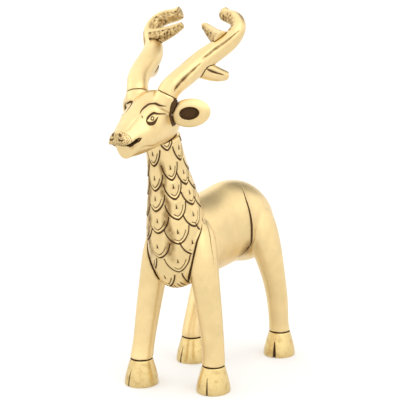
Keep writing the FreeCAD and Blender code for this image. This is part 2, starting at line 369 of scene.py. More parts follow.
def carve(tree, skin, lines, value):
    """Sink a skin along lines. The side of a line that Up points to may stand proud, as an overlapping plate does."""
    place = tree.nodes.new("GeometryNodeInputPosition").outputs[0]
    normal = tree.nodes.new("GeometryNodeInputNormal").outputs[0]
    near = add_node(tree, "GeometryNodeProximity", {"target_element": "EDGES"})
    tree.links.new(lines, near.inputs[0])
    pick = add_node(tree, "GeometryNodeSampleNearest", {"domain": "POINT"}, Geometry=lines)
    read = add_node(tree, "GeometryNodeSampleIndex", {"data_type": "FLOAT", "domain": "POINT"},
                    Geometry=lines, Value=named(tree, "half_width"), Index=pick.outputs[0])
    width = calc(tree, "MAXIMUM", read.outputs[0], 0.00005)
    gap = near.outputs["Distance"]
    groove = ramp(tree, gap, 0.0, width, 1.0, 0.0)
    halo = ramp(tree, gap, 0.0, calc(tree, "MULTIPLY", width, value["Reach"]), 1.0, 0.0)
    rise = vec(tree, "DOT_PRODUCT", vec(tree, "SUBTRACT", place, near.outputs["Position"]), value["Up"])
    side = ramp(tree, calc(tree, "DIVIDE", rise, width), -1.0, 1.0, value["Lower Side"], 1.0)
    relative = calc(tree, "MINIMUM", calc(tree, "DIVIDE", width, value["Full Width"]), 1.3)
    sink = calc(tree, "MULTIPLY", calc(tree, "MULTIPLY", groove, relative), value["Depth"])
    swell = calc(tree, "MULTIPLY", calc(tree, "MULTIPLY", halo, side), calc(tree, "MULTIPLY", value["Lift"], relative))
    offset = scaled(tree, normal, calc(tree, "SUBTRACT", swell, sink))
    # The marks fade in a straight line across a groove, so that a finish can cut them off sharply.
    fade = calc(tree, "MAXIMUM", calc(tree, "SUBTRACT", 1.0, calc(tree, "DIVIDE", gap, calc(tree, "MULTIPLY", width, 2.0))), 0.0)
    marked = skin
    for label, strength, amount in (("patina", value["Patina"], fade), ("tarnish", value["Tarnish"], halo)):
        fresh = calc(tree, "MULTIPLY", amount, strength)
        marked = store(tree, marked, label, calc(tree, "MAXIMUM", named(tree, label), fresh))
    return add_node(tree, "GeometryNodeSetPosition", Geometry=marked, Offset=offset).outputs[0]


def end_tree(tree, geometry, leave, material):
    """Every tree ends the same way: real geometry with its finish on it."""
    solid = add_node(tree, "GeometryNodeRealizeInstances", None, Geometry=geometry).outputs[0]
    coated = add_node(tree, "GeometryNodeSetMaterial", None, Geometry=solid, Material=material).outputs[0]
    tree.links.new(coated, leave.inputs[0])


def make_chase_tree():
    """Carve the strokes of a lines object into a skin."""
    tree, enter, leave = geometry_tree("chase_lines", [
        ("Geometry", "NodeSocketGeometry", None), ("Lines", "NodeSocketObject", None),
        ("Depth", "NodeSocketFloat", 0.4 * MM), ("Lift", "NodeSocketFloat", 0.0),
        ("Lower Side", "NodeSocketFloat", -1.0), ("Reach", "NodeSocketFloat", 3.2),
        ("Full Width", "NodeSocketFloat", 0.7 * MM), ("Up", "NodeSocketVector", (0.0, 0.0, 1.0)),
        ("Patina", "NodeSocketFloat", 1.0), ("Tarnish", "NodeSocketFloat", 0.35),
        ("Finish", "NodeSocketMaterial", None)])
    lines = add_node(tree, "GeometryNodeObjectInfo", Object=enter.outputs["Lines"]).outputs["Geometry"]
    done = carve(tree, enter.outputs["Geometry"], lines, enter.outputs)
    end_tree(tree, done, leave, enter.outputs["Finish"])
    return tree


def make_punch_tree():
    """Small round punch marks scattered over an oval patch of a skin."""
    tree, enter, leave = geometry_tree("punched_pad", [
        ("Geometry", "NodeSocketGeometry", None), ("Pad Centre", "NodeSocketVector", None),
        ("Pad Reach", "NodeSocketVector", None), ("Spacing", "NodeSocketFloat", 0.95 * MM),
        ("Punch Radius", "NodeSocketFloat", 0.42 * MM), ("Punch Depth", "NodeSocketFloat", 0.22 * MM),
        ("Patina", "NodeSocketFloat", 1.0), ("Seed", "NodeSocketInt", 7), ("Finish", "NodeSocketMaterial", None)])
    value = enter.outputs
    place = tree.nodes.new("GeometryNodeInputPosition").outputs[0]
    normal = tree.nodes.new("GeometryNodeInputNormal").outputs[0]
    oval = vec(tree, "LENGTH", vec(tree, "DIVIDE", vec(tree, "SUBTRACT", place, value["Pad Centre"]), value["Pad Reach"]))
    inside = calc(tree, "LESS_THAN", oval, 1.0)
    scatter = tree.nodes.new("GeometryNodeDistributePointsOnFaces")
    scatter.distribute_method = "POISSON"
    tree.links.new(value["Geometry"], scatter.inputs["Mesh"])
    tree.links.new(inside, scatter.inputs["Selection"])
    tree.links.new(value["Spacing"], scatter.inputs["Distance Min"])
    scatter.inputs["Density Max"].default_value = 3.0e6
    tree.links.new(value["Seed"], scatter.inputs["Seed"])
    near = add_node(tree, "GeometryNodeProximity", {"target_element": "POINTS"})
    tree.links.new(scatter.outputs["Points"], near.inputs[0])
    gap = near.outputs["Distance"]
    dent = ramp(tree, gap, 0.0, value["Punch Radius"], 1.0, 0.0)
    fade = calc(tree, "MAXIMUM", calc(tree, "SUBTRACT", 1.0, calc(tree, "DIVIDE", gap, calc(tree, "MULTIPLY", value["Punch Radius"], 2.0))), 0.0)
    marked = store(tree, value["Geometry"], "patina",
                   calc(tree, "MAXIMUM", named(tree, "patina"), calc(tree, "MULTIPLY", fade, value["Patina"])))
    offset = scaled(tree, normal, calc(tree, "MULTIPLY", dent, calc(tree, "MULTIPLY", value["Punch Depth"], -1.0)))
    done = add_node(tree, "GeometryNodeSetPosition", Geometry=marked, Offset=offset).outputs[0]
    end_tree(tree, done, leave, value["Finish"])
    return tree


# Heights of the scale tips, row by row from the breast up, as shares of the neck's axis.
SCALE_TIPS = (0.030, 0.150, 0.250, 0.345, 0.425, 0.495, 0.565, 0.630, 0.690, 0.750, 0.850, 0.940)


def make_scale_tree():
    """Outlines of overlapping neck scales: staggered columns of pointed tongues laid on the neck."""
    tree, enter, leave = geometry_tree("neck_scales", [
        ("Geometry", "NodeSocketGeometry", None),
        ("Columns", "NodeSocketInt", 8), ("Rows", "NodeSocketInt", len(SCALE_TIPS)),
        ("Axis Foot", "NodeSocketVector", None), ("Axis Top", "NodeSocketVector", None),
        ("Scale Width", "NodeSocketFloat", 15.8 * MM), ("Scale Height", "NodeSocketFloat", 12.2 * MM),
        ("Line Width", "NodeSocketFloat", 0.92 * MM), ("Jitter", "NodeSocketFloat", 0.6 * MM),
        ("Seed", "NodeSocketInt", 4), ("Finish", "NodeSocketMaterial", None)])
    value = enter.outputs
    columns = calc(tree, "ADD", value["Columns"], 0.0)
    last_column = calc(tree, "SUBTRACT", columns, 1.0)
    last_row = calc(tree, "SUBTRACT", value["Rows"], 1.0)
    axis = vec(tree, "SUBTRACT", value["Axis Top"], value["Axis Foot"])
    length = vec(tree, "LENGTH", axis)

    # One point per scale tip: every second cell of a grid of columns and rows.
    grid = add_node(tree, "GeometryNodeMeshGrid", None, **{"Size X": last_column, "Size Y": last_row,
                                                          "Vertices X": value["Columns"],
                                                          "Vertices Y": value["Rows"]})
    spot = add_node(tree, "ShaderNodeSeparateXYZ", None, Vector=tree.nodes.new("GeometryNodeInputPosition").outputs[0])
    column = calc(tree, "ROUND", calc(tree, "ADD", spot.outputs[0], calc(tree, "MULTIPLY", last_column, 0.5)))
    row = calc(tree, "ROUND", calc(tree, "ADD", spot.outputs[1], calc(tree, "MULTIPLY", last_row, 0.5)))
    odd = calc(tree, "MODULO", calc(tree, "ADD", column, row), 2.0)
    kept = add_node(tree, "GeometryNodeDeleteGeometry", {"domain": "POINT"}, Geometry=grid.outputs["Mesh"],
                    Selection=calc(tree, "GREATER_THAN", odd, 0.5)).outputs[0]
    spread = add_node(tree, "ShaderNodeFloatCurve", None, Value=calc(tree, "DIVIDE", row, last_row))
    curve = spread.mapping.curves[0]
    for number, share in enumerate(SCALE_TIPS):
        x = number / (len(SCALE_TIPS) - 1)
        if x in (0.0, 1.0):
            curve.points[-1 if x else 0].location = (x, share)
        else:
            curve.points.new(x, share)
    spread.mapping.update()

    def jitter(seed):
        node = add_node(tree, "FunctionNodeRandomValue", {"data_type": "FLOAT"},
                        _2=-1.0, _3=1.0, Seed=calc(tree, "ADD", value["Seed"], seed))
        return calc(tree, "MULTIPLY", node.outputs[1], value["Jitter"])

    height = calc(tree, "ADD", calc(tree, "MULTIPLY", spread.outputs[0], length), jitter(11.0))
    turn = calc(tree, "MULTIPLY", calc(tree, "DIVIDE", column, columns), math.tau)
    turn = calc(tree, "WRAP", turn, math.pi, -math.pi + 0.01)
    # The columns part a little beside the front one and draw together on the breast, between the forelegs.
    turn = calc(tree, "ADD", turn, calc(tree, "MULTIPLY", calc(tree, "SINE", turn), 0.17))
    turn = calc(tree, "MULTIPLY", turn, ramp(tree, height, 18 * MM, 50 * MM, 0.72, 1.0))
    around = calc(tree, "ADD", turn, calc(tree, "DIVIDE", jitter(23.0), 16 * MM))
    tips = add_node(tree, "GeometryNodeSetPosition", Geometry=kept,
                    Position=add_node(tree, "ShaderNodeCombineXYZ", None, X=around, Y=height).outputs[0]).outputs[0]

    # One scale in flat units: a pointed U, a fine bevel line inside it and a short tick.
    def flat_line(count, shape):
        bar = add_node(tree, "GeometryNodeMeshLine", None, Count=count)
        index = tree.nodes.new("GeometryNodeInputIndex").outputs[0]
        share = calc(tree, "SUBTRACT", calc(tree, "DIVIDE", index, (count - 1) / 2), 1.0)
        x, y, width = shape(share, calc(tree, "ABSOLUTE", share))
        moved = add_node(tree, "GeometryNodeSetPosition", Geometry=bar.outputs[0],
                         Position=add_node(tree, "ShaderNodeCombineXYZ", None, X=x, Y=y).outputs[0]).outputs[0]
        return store(tree, moved, "half_width", calc(tree, "MULTIPLY", width, value["Line Width"]))

    def bow(u, a):
        round_part = calc(tree, "SUBTRACT", 1.0, calc(tree, "SQRT", calc(tree, "SUBTRACT", 1.0, calc(tree, "POWER", a, 2.0))))
        return calc(tree, "ADD", calc(tree, "MULTIPLY", round_part, 0.86), calc(tree, "MULTIPLY", a, 0.16))

    def outline(u, a):
        x = calc(tree, "MULTIPLY", u, 0.97)
        return x, bow(x, calc(tree, "ABSOLUTE", x)), calc(tree, "SUBTRACT", 1.0, calc(tree, "MULTIPLY", a, 0.38))

    def bevel(u, a):
        x = calc(tree, "ADD", calc(tree, "MULTIPLY", u, 0.62), 0.22)
        y = calc(tree, "ADD", calc(tree, "MULTIPLY", bow(x, calc(tree, "ABSOLUTE", x)), 0.9), 0.17)
        return calc(tree, "MULTIPLY", x, 0.74), y, calc(tree, "SUBTRACT", 0.46, calc(tree, "MULTIPLY", a, 0.10))

    def tick(u, a):
        y = calc(tree, "ADD", calc(tree, "MULTIPLY", u, 0.10), 0.66)
        return 0.0, y, calc(tree, "SUBTRACT", 0.52, calc(tree, "MULTIPLY", u, 0.26))

    scale = tree.nodes.new("GeometryNodeJoinGeometry")
    for line in (flat_line(49, outline), flat_line(33, bevel), flat_line(7, tick)):
        tree.links.new(line, scale.inputs[0])
    half_turn = calc(tree, "DIVIDE", calc(tree, "MULTIPLY", value["Scale Width"], 0.5),
                     ramp(tree, height, calc(tree, "MULTIPLY", length, 0.35), length, 16.8 * MM, 12.4 * MM))
    size = add_node(tree, "ShaderNodeCombineXYZ", None, X=half_turn, Y=value["Scale Height"], Z=1.0).outputs[0]
    laid = add_node(tree, "GeometryNodeInstanceOnPoints", None, Points=tips, Instance=scale.outputs[0], Scale=size)
    flat = add_node(tree, "GeometryNodeRealizeInstances", None, Geometry=laid.outputs[0]).outputs[0]

    # Wrap the flat pattern round the leaning neck: straight in from outside, onto the skin.
    here = add_node(tree, "ShaderNodeSeparateXYZ", None, Vector=tree.nodes.new("GeometryNodeInputPosition").outputs[0])
    along = vec(tree, "NORMALIZE", axis)
    front = vec(tree, "NORMALIZE", vec(tree, "CROSS_PRODUCT", along, (1.0, 0.0, 0.0)))
    front = scaled(tree, front, -1.0)
    out = vec(tree, "ADD", scaled(tree, front, calc(tree, "COSINE", here.outputs[0])),
              scaled(tree, vec(tree, "MULTIPLY", (1.0, 0.0, 0.0), (1.0, 1.0, 1.0)), calc(tree, "SINE", here.outputs[0])))
    centre = vec(tree, "ADD", value["Axis Foot"], scaled(tree, along, here.outputs[1]))
    start = vec(tree, "ADD", centre, scaled(tree, out, 60 * MM))
    ray = tree.nodes.new("GeometryNodeRaycast")
    tree.links.new(value["Geometry"], ray.inputs["Target Geometry"])
    tree.links.new(start, ray.inputs["Source Position"])
    tree.links.new(scaled(tree, out, -1.0), ray.inputs["Ray Direction"])
    ray.inputs["Ray Length"].default_value = 59 * MM
    kept_hits = store(tree, flat, "hit", ray.outputs["Is Hit"])
    wrapped = add_node(tree, "GeometryNodeSetPosition", Geometry=kept_hits, Position=ray.outputs["Hit Position"]).outputs[0]
    missed = calc(tree, "LESS_THAN", named(tree, "hit"), 0.5)
    clean = add_node(tree, "GeometryNodeDeleteGeometry", {"domain": "POINT"}, Geometry=wrapped, Selection=missed).outputs[0]
    end_tree(tree, clean, leave, value["Finish"])
    return tree



# ---------------------------------------------------------------- finishes

def brass(name, tone, grain, brush, roughness, mottle):
    """Cast brass: warm metal, worn brush lines, small pits, and dark patina where the tool has cut; the same dark and
    brown marks also carry painted shade, painted shadows and a painted reflection.
    """
    material = bpy.data.materials.new(name)
    material.use_nodes = True
    tree = material.node_tree
    tree.nodes.clear()
    shader = tree.nodes.new("ShaderNodeBsdfPrincipled")
    out = tree.nodes.new("ShaderNodeOutputMaterial")
    tree.links.new(shader.outputs[0], out.inputs[0])
    where = tree.nodes.new("ShaderNodeTexCoord").outputs["Object"]

    def cloudy(scale, detail=3.0, stretch=(1.0, 1.0, 1.0)):
        mapped = add_node(tree, "ShaderNodeMapping", None, Vector=where, Scale=stretch).outputs[0]
        return add_node(tree, "ShaderNodeTexNoise", None, Vector=mapped, Scale=scale, Detail=detail).outputs["Fac"]

    def mix(factor, first, second):
        node = tree.nodes.new("ShaderNodeMix")
        node.data_type = "RGBA"
        for socket, item in ((node.inputs["Factor"], factor), (node.inputs[6], first), (node.inputs[7], second)):
            if isinstance(item, bpy.types.NodeSocket):
                tree.links.new(item, socket)
            else:
                socket.default_value = item if isinstance(item, float) else (*item, 1.0)
        return node.outputs[2]

    def mark(label):
        return add_node(tree, "ShaderNodeAttribute", {"attribute_name": label}).outputs["Fac"]

    cloud = cloudy(60.0, 4.0)
    blotch = cloudy(260.0, 3.0)
    streak = cloudy(900.0, 2.0, (1.0, 1.0, 0.12))
    pits = cloudy(2600.0, 2.0)
    bright = tuple(min(1.0, c * 1.10) for c in tone)
    dull = (tone[0] * 0.82, tone[1] * 0.76, tone[2] * 0.66)
    metal = mix(ramp(tree, cloud, 0.35, 0.68, 0.0, 1.0), tone, bright)
    metal = mix(calc(tree, "MULTIPLY", ramp(tree, blotch, 0.45, 0.75, 0.0, 1.0), mottle), metal, dull)
    # Brown tarnish mark: real tarnish beside the cuts, and also the painted dark reflection band on the neck and a
    # painted shadow under the haunch.
    old = calc(tree, "MULTIPLY", mark("tarnish"), ramp(tree, blotch, 0.25, 0.7, 0.45, 0.95))
    metal = mix(old, metal, (0.24, 0.14, 0.045))
    # Dark patina mark: patina in the cuts and joints, and also painted shade in the mouth slot and painted shadows
    # under the haunch and the jaw.
    deep = ramp(tree, calc(tree, "ADD", mark("patina"), calc(tree, "MULTIPLY", calc(tree, "SUBTRACT", blotch, 0.5), 0.16)),
                0.56, 0.72, 0.0, 1.0)
    colour = mix(deep, metal, (0.085, 0.040, 0.010))
    tree.links.new(colour, shader.inputs["Base Color"])
    tree.links.new(calc(tree, "SUBTRACT", 1.0, calc(tree, "MULTIPLY", deep, 0.45)), shader.inputs["Metallic"])
    rough = calc(tree, "ADD", ramp(tree, streak, 0.3, 0.7, roughness - 0.03, roughness + 0.05),
                 calc(tree, "MULTIPLY", deep, 0.3))
    tree.links.new(calc(tree, "ADD", rough, calc(tree, "MULTIPLY", old, 0.12)), shader.inputs["Roughness"])
    relief = calc(tree, "ADD", calc(tree, "MULTIPLY", streak, brush), calc(tree, "MULTIPLY", pits, grain))
    bump = add_node(tree, "ShaderNodeBump", None, Height=relief, Strength=0.16, Distance=0.12 * MM)
    tree.links.new(bump.outputs[0], shader.inputs["Normal"])
    return material


BRASS_TONE = (0.73, 0.56, 0.285)
FINISHES = {
    "satin_brass": brass("satin_brass", BRASS_TONE, 0.4, 0.4, 0.37, 0.12),
    "chased_brass": brass("chased_brass", BRASS_TONE, 0.6, 0.4, 0.34, 0.20),
    "brushed_brass": brass("brushed_brass", (0.67, 0.51, 0.235), 1.0, 1.6, 0.30, 0.85),
    "plain_brass": brass("plain_brass", (0.73, 0.57, 0.30), 0.2, 0.9, 0.28, 0.05),
}


def finish_piece(thing, node, body, slot):
    """Hand a finished mesh over: name, finish, shading, body and the casting it stands for."""
    mesh = thing.data
    thing.name = mesh.name = node + "_finished"
    mesh.materials.clear()
    mesh.materials.append(FINISHES[slot])
    mesh.polygons.foreach_set("material_index", np.zeros(len(mesh.polygons), np.int32))
    mesh.polygons.foreach_set("use_smooth", np.ones(len(mesh.polygons), bool))
    mesh.set_sharp_from_angle(angle=math.radians(50))
    for mark in ("half_width", "hit", "sharp_face"):
        if mark in mesh.attributes:
            mesh.attributes.remove(mesh.attributes[mark])
    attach(thing, body)
    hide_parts(node)
    return thing


def copy_marks(source, thing, names=("patina", "tarnish")):
    """Read the marks of the nearest source point onto every point of a piece."""
    from mathutils.kdtree import KDTree
    co = points_of(source)
    tree = KDTree(len(co))
    for index, point in enumerate(co):
        tree.insert(point, index)
    tree.balance()
    near = np.array([tree.find(point)[1] for point in points_of(thing)])
    for name in names:
        set_mark(thing, name, get_mark(source, name)[near])


# ---------------------------------------------------------------- stage

def make_stage():
    low, high = CAD_BOX
    middle = (low + high) / 2
    mesh = bpy.data.meshes.new("floor")
    reach = 4.0
    mesh.from_pydata([(-reach, -reach, 0), (reach, -reach, 0), (reach, reach, 0), (-reach, reach, 0)], [], [(0, 1, 2, 3)])
    floor = new_object("floor", mesh)
    pale = bpy.data.materials.new("pale_floor")
    pale.use_nodes = True
    shader = pale.node_tree.nodes["Principled BSDF"]
    shader.inputs["Base Color"].default_value = (0.64, 0.64, 0.64, 1)
    shader.inputs["Roughness"].default_value = 0.9
    shader.inputs["Specular IOR Level"].default_value = 0.1
    shader.inputs["Emission Color"].default_value = (1.0, 1.0, 1.0, 1)
    shader.inputs["Emission Strength"].default_value = 0.22
    mesh.materials.append(pale)

    world = bpy.data.worlds.new("studio")
    bpy.context.scene.world = world
    world.use_nodes = True
    tree = world.node_tree
    sky = tree.nodes["Background"]
    sky.inputs["Color"].default_value = (1.0, 0.995, 0.98, 1)
    toward = tree.nodes.new("ShaderNodeTexCoord").outputs["Generated"]
    height = add_node(tree, "ShaderNodeSeparateXYZ", None, Vector=toward).outputs[2]
    glow = ramp(tree, height, -0.1, 0.25, 1.08, 1.48)
    # A dim patch behind the figure gives the top of the back its darker band.
    behind = vec(tree, "DOT_PRODUCT", toward, tuple(Vector((0.0, 0.82, 0.57)).normalized()))
    tree.links.new(calc(tree, "MULTIPLY", glow, ramp(tree, behind, 0.88, 0.985, 1.0, 0.18)), sky.inputs["Strength"])

    def soft_light(name, azimuth, elevation, distance, size, power):
        data = bpy.data.lights.new(name, "AREA")
        data.shape = "DISK"
        data.size = size
        data.energy = power
        lamp = bpy.data.objects.new(name, data)
        bpy.context.scene.collection.objects.link(lamp)
        a, e = math.radians(azimuth), math.radians(elevation)
        back = Vector((math.sin(a) * math.cos(e), -math.cos(a) * math.cos(e), math.sin(e)))
        lamp.location = middle + back * distance
        lamp.rotation_mode = "QUATERNION"
        lamp.rotation_quaternion = (-back).to_track_quat("-Z", "Y")

    soft_light("key_light", 75, 40, 1.0, 1.0, 1.4)
    soft_light("fill_light", -60, 30, 1.1, 1.0, 0.6)
    bpy.context.scene.view_settings.view_transform = "Standard"


def make_camera():
    low, high = CAD_BOX
    data = bpy.data.cameras.new("camera")
    data.lens = 99.0
    data.sensor_width = 36.0
    data.clip_start, data.clip_end = 0.05, 20.0
    camera = bpy.data.objects.new("camera", data)
    bpy.context.scene.collection.objects.link(camera)
    azimuth, elevation, distance = math.radians(34), math.radians(11), 715 * MM
    back = Vector((math.sin(azimuth) * math.cos(elevation), -math.cos(azimuth) * math.cos(elevation),
                   math.sin(elevation)))
    middle = (low + high) / 2
    target = Vector((middle.x, middle.y, 0)) + mm(-5.15, 11.33, 116)
    camera.location = target + back * distance
    camera.rotation_mode = "QUATERNION"
    camera.rotation_quaternion = (-back).to_track_quat("-Z", "Y")
    bpy.context.scene.camera = camera


make_stage()
make_camera()
CHASE = make_chase_tree()
SCALES = make_scale_tree()
PUNCHES = make_punch_tree()


# ---------------------------------------------------------------- shaping tools

def mirrored(points, side):
    return [(side * x, y, z) for x, y, z in points]


def chase(skin, strokes, **values):
    """Carve strokes, or a ready lines object; sizes in millimetres."""
    lines = strokes.as_object("strokes") if isinstance(strokes, Lines) else strokes
    settings = {"Lines": lines, "Finish": FINISHES["chased_brass"]}
    for key, value in values.items():
        label = key.replace("_", " ").title()
        settings[label] = value * MM if key in ("depth", "lift", "full_width") else value
    run_tree(skin, CHASE, settings)
    discard(lines)
    return skin


def swell(thing, centre, radius, height):
    """Raise, or sink, a soft round spot along the surface normals; sizes in millimetres."""
    co, no = points_of(thing), normals_of(thing)
    gap = np.linalg.norm(co - np.array(centre) * MM, axis=1) / (radius * MM)
    lift = (1 - smoothstep(0.0, 1.0, gap)) * height * MM
    set_points(thing, co + no * lift[:, None])


def soften(thing, chosen, passes):
    """Rub chosen points towards the middle of their neighbours, again and again."""
    mesh = thing.data
    ends = np.empty(len(mesh.edges) * 2, np.int32)
    mesh.edges.foreach_get("vertices", ends)
    first, second = ends.reshape(-1, 2).T
    count = np.bincount(ends, minlength=len(mesh.vertices))[:, None]
    co = points_of(thing)
    weight = 0.5 * chosen[:, None]
    for _ in range(passes):
        total = np.stack([np.bincount(first, co[second, axis], len(co)) + np.bincount(second, co[first, axis], len(co))
                          for axis in range(3)], axis=1)
        co += weight * (total / count - co)
    set_points(thing, co)


def raise_mark(thing, name, values):
    set_mark(thing, name, np.maximum(get_mark(thing, name), np.clip(values, 0, 1)))


def stain(thing, centre, radius, amount=1.0, name="patina"):
    """Darken a round spot out to a radius in millimetres."""
    gap = np.linalg.norm(points_of(thing) - np.array(centre) * MM, axis=1) / (radius * MM)
    raise_mark(thing, name, (0.65 + (1 - gap) * 0.8) * amount)


def surface_of(thing):
    mesh = thing.data
    mesh.calc_loop_triangles()
    return BVHTree.FromPolygons([v.co for v in mesh.vertices], [t.vertices for t in mesh.loop_triangles])


def stain_seam(thing, other, reach, amount=1.0):
    """Darken a thing where it comes within a reach of another piece."""
    far = 4 * reach * MM
    surface = surface_of(other)
    low = np.min(points_of(other), axis=0) - far
    high = np.max(points_of(other), axis=0) + far
    co = points_of(thing)
    gap = np.full(len(co), far)
    for index in np.flatnonzero(np.all((co > low) & (co < high), axis=1)):
        hit = surface.find_nearest(Vector(co[index]), far)
        if hit[0] is not None:
            gap[index] = hit[3]
    raise_mark(thing, "patina", (0.65 + (1 - gap / (reach * MM)) * 0.5) * amount)


def paint_hollow_shade(thing, low, high, reach):
    """Painted shade: darken what faces another wall of the same piece across a slot."""
    surface = surface_of(thing)
    co, no = points_of(thing), normals_of(thing)
    inside = np.all((co > np.array(low) * MM) & (co < np.array(high) * MM), axis=1)
    values = np.zeros(len(co))
    for index in np.flatnonzero(inside):
        start = Vector(co[index]) + Vector(no[index]) * 0.05 * MM
        if surface.ray_cast(start, Vector(no[index]), reach * MM)[0] is not None:
            values[index] = 1.0
    raise_mark(thing, "patina", values)


def roughen(thing, chosen, size, height):
    """A broken, knobbly surface over chosen points; sizes in millimetres."""
    co, no = points_of(thing), normals_of(thing)
    lift = np.zeros(len(co))
    for index in np.flatnonzero(chosen > 0.01):
        lift[index] = noise.noise(Vector(co[index]) / (size * MM)) * chosen[index]
    set_points(thing, co + no * (lift * height * MM)[:, None])
    raise_mark(thing, "tarnish", chosen * np.clip(0.75 - lift * 0.9, 0, 1))
    raise_mark(thing, "patina", np.where(lift < -0.28, 0.72, 0.0))


# ---------------------------------------------------------------- trunk, neck and legs

QUARTERS = [(side_name + end, side, end) for side, side_name in ((LEFT, "left_"), (RIGHT, "right_"))
            for end in ("forequarter", "hindquarter")]


def paint_neck_reflection_band(trunk):
    """A painted dark reflection: a brown band down the scales at either side of the throat, stored with the tarnish."""
    co = points_of(trunk) / MM
    lean = (co[:, 2] - 68) * -0.21 - 18
    turn = np.degrees(np.arctan2(np.abs(co[:, 0]), lean - co[:, 1]))
    middle = 26 + 3.0 * np.sin(co[:, 2] / 3.1)
    band = np.clip(1 - np.abs(turn - middle) / 13, 0, 1) * smoothstep(84, 96, co[:, 2]) * (1 - smoothstep(146, 153, co[:, 2]))
    near = np.hypot(co[:, 0], co[:, 1] - lean) < 26
    raise_mark(trunk, "tarnish", 1.6 * band * near)


def make_trunk():
    trunk = casting_copy("neck_casting", "trunk")
    for node in ["barrel_casting"] + [name for name, _, _ in QUARTERS]:
        combine(trunk, casting_copy(node))
    outer_shell(trunk)
    recast(trunk, BODY_GRAIN, passes=14, finer=1)

    neck_form = outer_shell(casting_copy("neck_casting", "neck_form"))
    recast(neck_form, 1.0 * MM, passes=2)

    # The haunch stands proud of the flank behind one deep line.
    haunch, fold_with_painted_shadow, shoulder, breast, ticks = (Lines(trunk) for _ in range(5))
    for side in SIDES:
        sign = side[0]
        haunch.stroke(mirrored([(7.8, 39.5, 123), (14.2, 36.0, 115.5), (17.2, 35.9, 107.8), (18.5, 36.5, 99.7),
                                (18.1, 37.8, 90.6), (16.2, 40.2, 82.5)], sign), 0.9, (0.6, 0.1), 90)
        # The fold under the haunch is a shallow real cut, and its dark fill is a painted shadow.
        fold_with_painted_shadow.stroke(mirrored([(16.8, 39.5, 85), (15.0, 39.5, 80.5), (12.5, 36, 78), (10.5, 31, 77)], sign), 1.3, (0.2, 0.8), 40)
        shoulder.stroke(mirrored([(16, -14.5, 109.8), (22.4, -17.4, 101.9), (25.3, -19.5, 94.8), (27.8, -19.8, 84)],
                                 sign), 0.42, (0.3, 0.6), 60)
        breast.stroke(mirrored([(17.4, -19.5, 108.0), (17.8, -23.0, 103.0), (18.7, -28.3, 96.9), (16.4, -29.4, 86.1),
                                (13.5, -28.0, 77.0), (11.0, -25.5, 69.5)], sign), 0.85, (0.45, 0.05), 90)
    for x, top in ((-6.5, 71), (-3.0, 70), (0.5, 71), (3.5, 69.5), (6.5, 70.5), (9.0, 71.5)):
        ticks.stroke([(x, -32, top), (x + 0.6, -29, top - 2.0), (x + 0.8, -25, top - 3.0)], 0.5, (0.3, 0.2), 16)
    chase(trunk, haunch, depth=0.55, lift=0.75, lower_side=0.0, reach=7.0, up=(0.0, 1.0, 0.0), tarnish=0.12)
    # Painted shadow along the fold under the haunch, over a shallow cut.
    chase(trunk, fold_with_painted_shadow, depth=0.5, tarnish=0.5, full_width=1.3, patina=0.85)
    chase(trunk, shoulder, depth=0.35, tarnish=0.3)
    # Painted shadow: a dark patch where the haunch seam meets the belly, patina and tarnish marks with no cut.
    for side, _ in SIDES:
        stain(trunk, (side * 15.8, 38.6, 81.0), 1.7)
        stain(trunk, (side * 15.4, 37.6, 81.0), 5.0, 0.8, "tarnish")

    scale_lines = new_object("scale_lines", neck_form.data.copy())
    run_tree(scale_lines, SCALES, {"Axis Foot": (0.0, -18 * MM, 68 * MM), "Axis Top": (0.0, -38 * MM, 163 * MM),
                                   "Finish": FINISHES["chased_brass"]})
    chase(trunk, scale_lines, depth=0.6, lift=0.28)
    chase(trunk, breast, depth=0.9)
    # A painted dark reflection band down the neck.
    paint_neck_reflection_band(trunk)
    chase(trunk, ticks, depth=0.5)

    saw = neck_form
    co, no = points_of(saw), normals_of(saw)
    set_points(saw, co + no * 0.8 * MM)
    neck = new_object("neck", trunk.data.copy())
    combine(neck, saw, "INTERSECT", keep_other=True)
    body = new_object("body", trunk.data.copy())
    combine(body, saw, "DIFFERENCE")
    reach = 0.2
    crease, rump = (corner.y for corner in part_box("barrel_casting"))
    pieces = [("neck_casting", neck, "chased_brass")]
    cuts = [("barrel_casting", (-reach, crease, -reach), (reach, rump, reach))]
    for name, side, end in QUARTERS:
        x_range = (0.0, reach) if side == LEFT else (-reach, 0.0)
        y_range = (-reach, crease) if end == "forequarter" else (rump, reach)
        cuts.append((name, (x_range[0], y_range[0], -reach), (x_range[1], y_range[1], reach * 2)))
    for node, corner, opposite in cuts:
        piece = new_object(node + "_cut", body.data.copy())
        combine(piece, block("saw", corner, opposite), "INTERSECT")
        pieces.append((node, piece, "satin_brass"))
    for node, piece, slot in pieces:
        copy_marks(trunk, piece)
        WORK[node] = (piece, slot)
    discard(body)
    discard(trunk)


# ---------------------------------------------------------------- head and ears

MOUTH_REAR = (0.0, -70.5, 165.2)
MOUTH_SLOPE = 13.0


